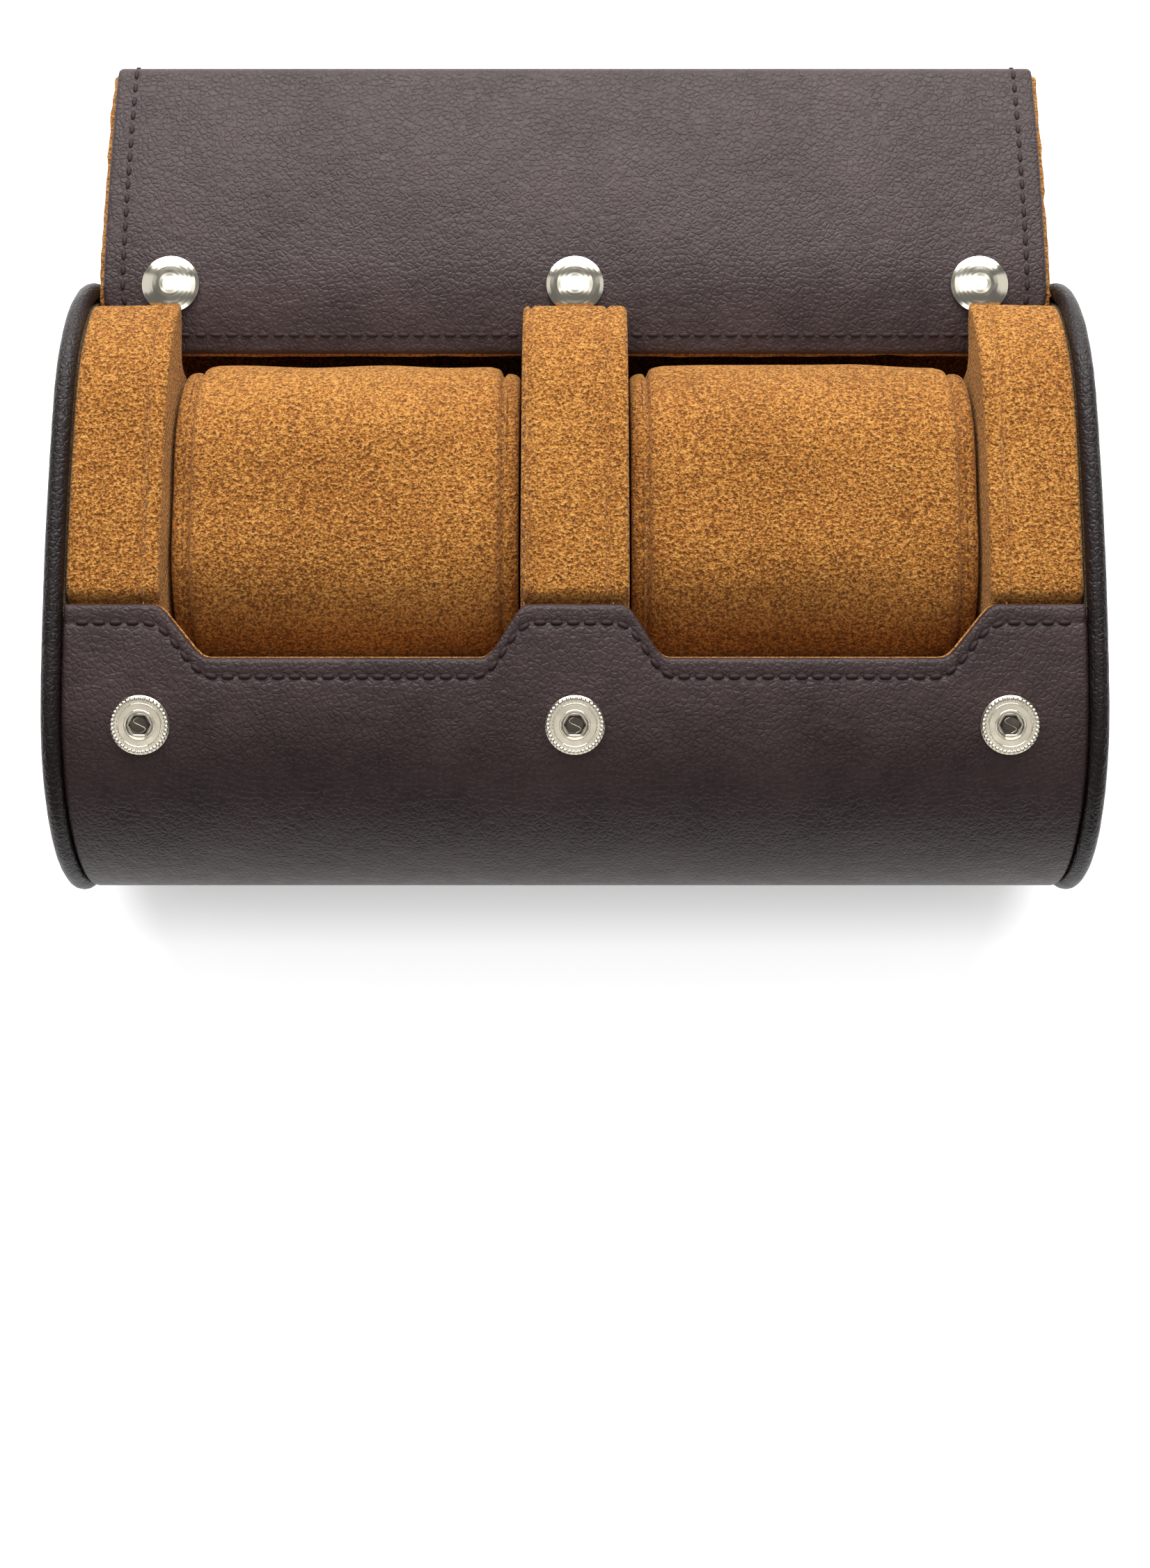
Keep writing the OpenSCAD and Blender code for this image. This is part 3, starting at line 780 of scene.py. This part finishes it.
def bed(word, side):
    """Suede-covered foam bed that one cushion stands on, with its front lip."""
    corner = (ROLL_Y0 + ROLL_R, ROLL_Z0 + ROLL_R)
    r = ROLL_R + BED_ROLL_GAP
    outline = [oval(l, FILL_OUT) for l in np.linspace(BED_FRONT_L, WHOLE_L - PAD_BACK_L, 50)]
    outline.append((WALL_BACK - BED_SIDE_GAP, BED_TOP))
    for k in range(11):
        a = math.radians(270 - 9 * k)
        outline.append((corner[0] + r * math.cos(a), corner[1] + r * math.sin(a)))
    outline.append((BED_FRONT_Y, BED_LIP_TOP))
    x0, x1 = PAD_HALF + BED_SIDE_GAP, INSIDE_X - BED_SIDE_GAP
    if side < 0:
        x0, x1 = -x1, -x0
    stations = end_stations(x0, x1, BED_ROUND, BED_DRAW, [], 0, BED_STEP)
    made = padded_loft("bed_" + word, smooth_outline(outline, 200, 1.2), stations, FOAM)
    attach(made, "case")
    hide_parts("cradle_" + word)


bed("left", -1)
bed("right", 1)

# ---- flap ----

FLAP_PARTS = ("root", "rear", "top", "front")
FOLD_STEPS = 8
FOLD_IN = 0.02  # the lining's inner face at a fold, out from the axis
HINGE_STEPS = 14
HINGE_PITCH = 1.1  # stands for the hinge's length between two of its stations
HINGE_T = 1.3  # thickness of the flap where it leaves the shell
OUTER_PULL, OUTER_REACH = 4.5, 4  # how strongly the root's curves leave and arrive
INNER_PULL, INNER_REACH = 6.5, 6.5
FRAY_SCALE_X, FRAY_SCALE_L, FRAY_REACH = 90, 1.1, 4
# Distances in from the flap's sides at which its rounded edge has points.
BEAD_STEPS = (0.0, 0.12, 0.3, 0.6, 1.0, 1.6, 2.4, 3.4, 4.0, 4.6, 6.0)


def bezier(p, tp, q, tq, n):
    """Points from p to q, leaving along tp and arriving along tq."""
    c1, c2 = p + tp, q - tq
    return [(1 - t) ** 3 * p + 3 * (1 - t) ** 2 * t * c1 + 3 * (1 - t) * t * t * c2 + t**3 * q
            for t in np.linspace(0, 1, n)]


def flap_stations():
    """The open flap from root to edge: (inner, middle, outer, length, part) in order.

    length is the distance along the closed oval, and part names the length or fold it lies on.
    """
    found = []
    flap_l, body_l = FLAP_ROOT_L, BODY_ROOT_L
    up = oval(-body_l + 1, 0) - oval(-body_l, 0)
    away = back_open(oval(-flap_l + 1, 0)) - back_open(oval(-flap_l, 0))
    outer = bezier(oval(-body_l, COVER_OUT), up * OUTER_PULL,
                   back_open(oval(-flap_l, FLAP_OUT)), away * OUTER_REACH, HINGE_STEPS)
    inner = bezier(oval(-body_l, COVER_OUT - HINGE_T), up * INNER_PULL,
                   back_open(oval(-flap_l, FLAP_GAP)), away * INNER_REACH, HINGE_STEPS)
    for k in range(HINGE_STEPS - 1):
        found.append((inner[k], (inner[k] + outer[k]) / 2, outer[k],
                      -flap_l - (HINGE_STEPS - 1 - k) * HINGE_PITCH, "hinge"))

    def strip(l0, l1, n, place, part):
        """Stations along a length of the flap that doesn't bend."""
        for l in np.linspace(l0, l1, n):
            found.append((*[place(oval(l, d)) for d in (FLAP_GAP, FLAP_MID, FLAP_OUT)], l, part))

    def fold(axis_at, l, first, last, part):
        """Stations round a fold's axis, from one angle to another."""
        for k in range(1, FOLD_STEPS):
            a = lerp(first, last, k / FOLD_STEPS)
            way = np.array([math.cos(a), math.sin(a)])
            found.append((axis_at + way * FOLD_IN, axis_at + way * FLAP_T,
                          axis_at + way * 2 * FLAP_T, l, part))

    strip(-flap_l, -FOLD_REAR, 18, back_open, "back")
    rear = back_open(REAR_AXIS)
    a = math.pi / 2 - turn_at(FOLD_REAR) - math.radians(OPEN_BACK)
    fold(rear, -FOLD_REAR, a, a + math.radians(OPEN_CROWN), "rear")
    strip(-FOLD_REAR, -FOLD_UP, 14, crown_open, "crown")
    front = crown_open(FRONT_AXIS)
    a = math.pi / 2 - turn_at(FOLD_UP) - math.radians(OPEN_BACK - OPEN_CROWN)
    fold(front, -FOLD_UP, a, a + math.radians(OPEN_FRONT), "up")
    strip(-FOLD_UP, 34.0, 24, front_open, "front")
    strip(34.7, FLAP_EDGE - 3, 16, front_open, "front")
    strip(FLAP_EDGE - 2.6, FLAP_EDGE, 9, front_open, "front")
    return found


STATIONS = flap_stations()


def station_after(l, part):
    """The first of a part's stations that lies beyond l."""
    return next(i for i, s in enumerate(STATIONS) if s[3] > l and s[4] == part)


# Where one piece of the flap ends and the next begins, away from the bends.
SPLITS = [0, station_after(-70, "back"), station_after(-28, "crown"),
          station_after(4, "front"), len(STATIONS) - 1]


def flap_layer(word, low, high, half, edge_l, bead, material, ragged=0.0):
    """One layer of the flap as four pieces that meet; the first three each hold one of its
    bends.
    """
    chosen = [s for s in STATIONS if s[3] <= edge_l + NEAR_ZERO]
    right = list(np.arange(0, half - 8, 6.0)) + sorted(half - b for b in BEAD_STEPS)
    xs = np.array([-x for x in reversed(right[1:])] + right) / half
    grids = {low: [], high: []}
    way = front_open(oval(edge_l, FLAP_MID)) - front_open(oval(edge_l - 1, FLAP_MID))
    for s in chosen:
        tip = edge_l - s[3]
        width = half
        if tip < CORNER_R:
            width = half - CORNER_R + math.sqrt(max(CORNER_R**2 - (CORNER_R - tip) ** 2, 0))
        for layer in (low, high):
            mid = (s[low] + s[high]) / 2
            line = []
            for x in xs:
                full = round_off(min(width - abs(x) * width, tip), bead)
                rough = noise.noise(Vector((x * FRAY_SCALE_X, 3, 0)))
                fray = ragged * (1 - min(tip / FRAY_REACH, 1)) * rough
                at_side = Vector((s[3] * FRAY_SCALE_L, math.copysign(5, x), 0))
                side = ragged * noise.noise(at_side)
                p = lerp(mid, s[layer], full) + fray * way
                line.append(world(x * (width + side), p))
            grids[layer].append(line)
    n = len(xs)
    normals = {}
    for layer in (low, high):
        g = np.array(grids[layer])
        du = np.gradient(g, axis=0)
        dv = np.gradient(g, axis=1)
        cross = np.cross(du, dv)
        cross /= np.maximum(np.linalg.norm(cross, axis=2), 1e-12)[:, :, None]
        out = np.array([s[high] - s[low] for s in chosen])
        sign = np.sign(cross[:, n // 2, 1] * out[:, 0] + cross[:, n // 2, 2] * out[:, 1])
        cross *= sign[:, None, None]
        normals[layer] = cross if layer == high else -cross
    turned_over = sign.mean() > 0  # the faces have to wind the way the normals point
    made = []
    cuts = SPLITS[:-1] + [len(chosen) - 1]
    for k, part in enumerate(FLAP_PARTS):
        span = range(cuts[k], cuts[k + 1] + 1)
        points = [p for layer in (high, low) for i in span for p in grids[layer][i]]
        ns = [tuple(v) for layer in (high, low) for i in span for v in normals[layer][i]]
        faces = grid_faces(len(span), n, flip=turned_over)
        faces += grid_faces(len(span), n, len(span) * n, flip=not turned_over)
        piece = add_mesh(f"flap_{word}_{part}", points, faces, material)
        piece.data.normals_split_custom_set_from_vertices(ns)
        made.append(piece)
    return made


def move_flap_piece(piece, k):
    """Piece 3 rides with the flap's front; pieces 0 to 2, which hold the root, the rear fold and
    the upper fold, have their places baked in.
    """
    if k == len(FLAP_PARTS) - 1:
        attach(piece, "flap_front")
        return
    inside = [i for i, s in enumerate(STATIONS) if s[4] == ("hinge", "rear", "up")[k]]
    first, last = inside[0], inside[-1]
    if k > 0:
        first, last = first - 1, last + 1
    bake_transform(piece)


leather_pieces = flap_layer("leather", 1, 2, LEATHER_HALF, LEATHER_EDGE, 1.0, LEATHER)
lining_pieces = flap_layer("lining", 0, 1, FLAP_HALF, FLAP_EDGE, 0.8, LINING, ragged=0.5)
for k, piece in enumerate(leather_pieces):
    move_flap_piece(piece, k)
for k, piece in enumerate(lining_pieces):
    move_flap_piece(piece, k)
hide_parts("flap_hinge", "flap_back_cover")
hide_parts("flap_bend_rear", "flap_crown_cover")
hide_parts("flap_bend_front")
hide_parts("flap_front_cover")
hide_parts("flap_back_lining")
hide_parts("flap_crown_lining")
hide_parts("flap_front_lining")

STITCH_HALF = LEATHER_HALF - FLAP_SIDE_STITCH_IN
STITCH_END_L = LEATHER_EDGE - FLAP_EDGE_STITCH_IN
STITCH_CORNER_R = CORNER_R - FLAP_EDGE_STITCH_IN
ROOT_BARE = 4  # how many stations at the root have no stitches


def side_stitches(k, span):
    """Rows down both sides of one of the flap's pieces that hold a bend."""
    path = [STATIONS[i][2] for i in span]
    ups = [(0, *(STATIONS[i][2] - STATIONS[i][1])) for i in span]
    for side, word in ((-1, "left"), (1, "right")):
        row = stitch_row(f"flap_stitches_{FLAP_PARTS[k]}_{word}",
                         [world(side * STITCH_HALF, p) for p in path], ups, THREAD)
        move_flap_piece(row, k)


def edge_stitches(first_l):
    """One row down both sides of the flap's front length and across its edge."""
    left = []
    for l in np.linspace(first_l, STITCH_END_L, 90):
        rest = STITCH_END_L - l
        x = STITCH_HALF
        if rest < STITCH_CORNER_R:
            r = STITCH_CORNER_R
            x = STITCH_HALF - r + math.sqrt(max(r**2 - (r - rest) ** 2, 0))
        left.append((-x, l))
    straight = STITCH_HALF - STITCH_CORNER_R
    across = [(x, STITCH_END_L) for x in np.linspace(-straight, straight, 120)][1:-1]
    whole = left + across + [(-x, l) for x, l in reversed(left)]
    path = [world(x, front_open(oval(l, FLAP_OUT))) for x, l in whole]
    ups = [(0, *(front_open(oval(l, FLAP_OUT)) - front_open(oval(l, FLAP_MID))))
           for _, l in whole]
    row = stitch_row("flap_stitches_front", path, ups, THREAD)
    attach(row, "flap_front")


for k in range(len(FLAP_PARTS) - 1):
    side_stitches(k, range(max(SPLITS[k], ROOT_BARE), SPLITS[k + 1] + 1))
edge_stitches(STATIONS[SPLITS[-2]][3])

# ---- press studs ----

SOCKETS_X = (-SNAP_X, 0, SNAP_X)
SOCKET_RINGS = (  # (radius, wire radius, knurls, height)
    (5.05, 0.36, 40, 0.1), (4.1, 0.16, 0, 0.1), (2.75, 0.24, 0, 0.0),
)
RING_STATIONS, RING_SIDES = 176, 8
KNURL = 0.45
LIP_ROWS = (  # (radius, whether six-sided, height)
    (2.48, False, 0.0), (2.48, False, 0.08), (1.85, True, 0.08), (1.75, True, -0.1),
)
WELL_ROWS = (
    (2.45, False, 0.02), (2.4, False, -0.3), (1.2, False, -0.38), (0.3, False, -0.39),
)
TURNED_STATIONS = 48
WIRE_R, WIRE_STATIONS, WIRE_SIDES = 0.16, 40, 6
WIRE_WIDE, WIRE_LONG, WIRE_DEEP = 1.1, 1.5, 0.2

SOCKET_PLACE = oval(SNAP_L, 0)
SOCKET_TURN = turn_at(SNAP_L)
SOCKET_UP = np.array([0, -math.sin(SOCKET_TURN), math.cos(SOCKET_TURN)])
SOCKET_ALONG = np.array([0, -math.cos(SOCKET_TURN), -math.sin(SOCKET_TURN)])
SOCKET_ACROSS = np.array([1.0, 0, 0])


def on_socket(cx, u, v, w):
    """A point in metres: u across, v along and w above the face of the socket at cx."""
    centre = np.array([cx, SOCKET_PLACE[0], SOCKET_PLACE[1] + AXIS_Z])
    return (centre + SOCKET_ACROSS * u + SOCKET_ALONG * v + SOCKET_UP * w) * MM


def socket_ring(cx, radius, tube, knurls, height):
    """A ring of round wire on a socket, knurled if knurls is not 0."""
    points = []
    for a in circle(RING_STATIONS):
        r = tube * (1 + (KNURL * math.sin(a * knurls) if knurls else 0))
        for b in circle(RING_SIDES):
            q = radius + r * math.cos(b)
            points.append(on_socket(cx, q * math.cos(a), q * math.sin(a),
                                    height + r * math.sin(b)))
    return points, grid_faces(RING_STATIONS, RING_SIDES, wrap=True, loop=True)


def socket_wire(cx):
    """The gripping wire: an S across the hole."""
    points = []
    for k in range(WIRE_STATIONS):
        t = 2 * k / (WIRE_STATIONS - 1) - 1
        u, v = WIRE_WIDE * math.sin(math.pi * t * 0.95), WIRE_LONG * t
        for b in circle(WIRE_SIDES):
            points.append(on_socket(cx, u + WIRE_R * math.cos(b), v,
                                    -WIRE_DEEP + WIRE_R * math.sin(b)))
    return points, grid_faces(WIRE_STATIONS, WIRE_SIDES, wrap=True)


def socket_turned(cx, rows, closed):
    """A thin shape round a socket's axis; closed gives its last row a floor."""
    points = []
    for radius, six_sided, height in rows:
        for a in circle(TURNED_STATIONS):
            r = radius
            if six_sided:
                part = math.pi / 3
                r = radius / math.cos((a % part) - part / 2)
            points.append(on_socket(cx, r * math.cos(a), r * math.sin(a), height))
    faces = grid_faces(len(rows), TURNED_STATIONS, wrap=True)
    if closed:
        faces.append(tuple(range(len(points) - TURNED_STATIONS, len(points))))
    return points, faces


def joined(name, parts, material):
    """One mesh from several lists of points and faces."""
    points, faces = [], []
    for more, quads in parts:
        faces += [tuple(len(points) + i for i in quad) for quad in quads]
        points += more
    return add_mesh(name, points, faces, material)


rings = joined("socket_rings",
               [socket_ring(cx, *ring) for cx in SOCKETS_X for ring in SOCKET_RINGS], SNAP)
lips = joined("socket_lips", [socket_turned(cx, LIP_ROWS, False) for cx in SOCKETS_X], SPRING)
# Each socket's hole gets a near-black floor: painted shade.
wells = joined("socket_wells", [socket_turned(cx, WELL_ROWS, True) for cx in SOCKETS_X], WELL_SHADE)
wires = joined("socket_wires", [socket_wire(cx) for cx in SOCKETS_X], SPRING)
for made in (rings, lips, wells, wires):
    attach(made, "case")
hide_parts("snap_springs")

FINISHES = {
    "snap_caps": SNAP, "snap_studs": SNAP, "snap_sockets": SOCKET, "snap_backs": SPRING,
    "end_board_left": BOARD, "end_board_right": BOARD,
}
for name, material in FINISHES.items():
    made = frame["nodes"][name]
    made.data.materials.clear()
    made.data.materials.append(material)

# ---- camera, floor and light ----

PHOTO_H = 2253  # the photograph's height in pixels
FOCAL_PX = 3480.0
CENTRE_ROW = 838.0  # the row that the camera's axis meets
ELEVATION = math.radians(78.7)
CAMERA_AWAY = 494.0
SENSOR = 36.0  # the sensor's height, as the photograph is taller than wide
WORLD_COLOUR, WORLD_LEVEL = (0.9, 0.9, 0.9, 1), 0.16
FLOOR_COLOUR, FLOOR_GLOW = (0.8, 0.8, 0.8, 1), 0.70
FLOOR_HALF, FLOOR_Z = 3, -0.0002
# The floor's glow is dimmed near the case: a painted contact shadow.
CONTACT_SHADOW_REACH = 0.024  # how far from the case the floor's glow is dimmed

camera = bpy.data.objects.new("camera", bpy.data.cameras.new("camera"))
bpy.context.scene.collection.objects.link(camera)
back = Vector((0, -math.cos(ELEVATION), math.sin(ELEVATION)))
camera.location = Vector((0, 0, AXIS_Z * MM)) + back * CAMERA_AWAY * MM
camera.rotation_mode = "QUATERNION"
camera.rotation_quaternion = (-back).to_track_quat("-Z", "Y")
camera.data.sensor_width = SENSOR
camera.data.lens = FOCAL_PX / PHOTO_H * SENSOR
camera.data.shift_y = (CENTRE_ROW - PHOTO_H / 2) / PHOTO_H
bpy.context.scene.camera = camera


def area_light(name, place, aim, size, power, size_y=None):
    """A soft lamp at a place in metres, turned towards aim."""
    light = bpy.data.lights.new(name, "AREA")
    light.energy = power
    light.size = size
    if size_y:
        light.shape = "RECTANGLE"
        light.size_y = size_y
    made = bpy.data.objects.new(name, light)
    made.location = place
    way = Vector(aim) - Vector(place)
    made.rotation_mode = "QUATERNION"
    made.rotation_quaternion = way.to_track_quat("-Z", "Y")
    bpy.context.scene.collection.objects.link(made)


area_light("key", (0.0, 0.90, 0.66), (0, 0.03, 0.04), 1.5, 22.0, 0.5)
area_light("overhead", (0.0, 0.22, 1.1), (0, 0.02, 0.04), 1.0, 2.6, 0.5)
area_light("front_fill", (0.0, -0.55, 0.95), (0, 0, 0.03), 1.0, 1.5, 0.3)
area_light("left_fill", (-0.85, 0.25, 0.7), (0, 0, 0.04), 0.5, 0.5)
area_light("right_fill", (0.85, 0.25, 0.7), (0, 0, 0.04), 0.5, 0.5)

scene_world = bpy.data.worlds.new("studio")
bpy.context.scene.world = scene_world
scene_world.use_nodes = True
sky = scene_world.node_tree.nodes["Background"]
sky.inputs["Color"].default_value = WORLD_COLOUR
sky.inputs["Strength"].default_value = WORLD_LEVEL


def floor_material():
    """White paper: a lit surface that also glows, less so close to the case, which paints a
    contact shadow.
    """
    mat, tree, shader = new_material("floor_paper", 0.9)
    shader.inputs["Base Color"].default_value = FLOOR_COLOUR
    shader.inputs["Specular IOR Level"].default_value = 0.0
    path = tree.nodes.new("ShaderNodeLightPath")
    seen = node(tree, "ShaderNodeMath", operation="MAXIMUM")
    shown = node(tree, "ShaderNodeMath", operation="MAXIMUM")
    tree.links.new(path.outputs["Is Camera Ray"], seen.inputs[0])
    tree.links.new(path.outputs["Is Glossy Ray"], seen.inputs[1])
    tree.links.new(seen.outputs[0], shown.inputs[0])
    tree.links.new(path.outputs["Is Transmission Ray"], shown.inputs[1])
    # The glow dimmed by ambient occlusion near the case is a painted contact shadow.
    near = node(tree, "ShaderNodeAmbientOcclusion", Distance=CONTACT_SHADOW_REACH)
    strength = node(tree, "ShaderNodeMath", operation="MULTIPLY")
    strength.inputs[1].default_value = FLOOR_GLOW
    tree.links.new(near.outputs["AO"], strength.inputs[0])
    glow = tree.nodes.new("ShaderNodeEmission")
    tree.links.new(strength.outputs[0], glow.inputs["Strength"])
    total = tree.nodes.new("ShaderNodeAddShader")
    pick = tree.nodes.new("ShaderNodeMixShader")
    tree.links.new(shown.outputs[0], pick.inputs[0])
    tree.links.new(shader.outputs[0], total.inputs[0])
    tree.links.new(glow.outputs[0], total.inputs[1])
    tree.links.new(shader.outputs[0], pick.inputs[1])
    tree.links.new(total.outputs[0], pick.inputs[2])
    tree.links.new(pick.outputs[0], tree.nodes["Material Output"].inputs["Surface"])
    return mat


floor = add_mesh(
    "floor",
    [(x * FLOOR_HALF, y * FLOOR_HALF, FLOOR_Z) for x, y in ((-1, -1), (1, -1), (1, 1), (-1, 1))],
    [(0, 1, 2, 3)], floor_material(), smooth=False,
)
bpy.context.scene.view_settings.view_transform = "Standard"
